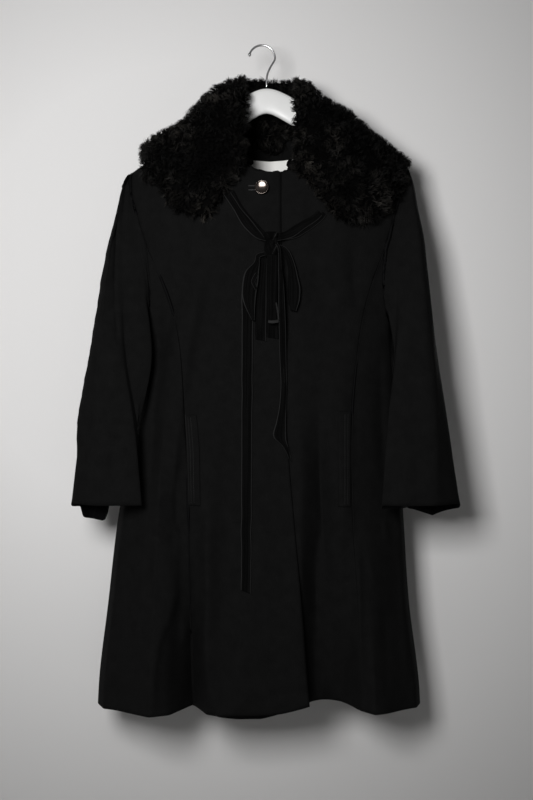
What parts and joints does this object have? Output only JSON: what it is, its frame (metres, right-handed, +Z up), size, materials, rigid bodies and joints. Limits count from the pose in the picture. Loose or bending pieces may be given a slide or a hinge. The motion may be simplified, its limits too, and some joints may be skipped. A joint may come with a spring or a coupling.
{
  "type": "wool coat with fur collar on a coat hanger",
  "caption": "Long flared wool coat with a wide fur collar, a velvet ribbon bow, welt pockets and a single neck button, hung flat on a hanger by its hook.",
  "frame": {"origin": "inside of the top of the hanger's hook, where it rests on its nail", "axes": "+Z up; the coat's front faces -Y; the wearer's left is towards +X"},
  "size_m": [0.6425, 0.1747, 1.1706],
  "materials": {
    "wool": "black napped wool melton",
    "fur": "black tufted fur",
    "velvet": "black velvet with satin edges",
    "label": "bare woven label",
    "button": "polished grey button",
    "hanger": "satin white",
    "hook": "polished wire"
  },
  "bodies": {
    "root": {"front_right_centre": "wool", "front_right_side": "wool", "front_left_centre": "wool", "front_left_side": "wool", "back": "wool", "sleeve_right": "wool", "sleeve_left": "wool", "pocket_welt_right": "wool", "pocket_welt_left": "wool", "fur_collar": "fur", "neck_label": "label", "top_button": "button", "ribbon_tie_right": "velvet", "ribbon_tie_left": "velvet", "ribbon_knot": "velvet", "ribbon_loop_right": "velvet", "ribbon_loop_left": "velvet", "ribbon_loop_centre": "velvet", "ribbon_tail_long": "velvet", "ribbon_tail_short": "velvet", "ribbon_end_centre": "velvet", "hanger_body": "hanger", "hanger_hook": "hook"}
  },
  "joints": []
}
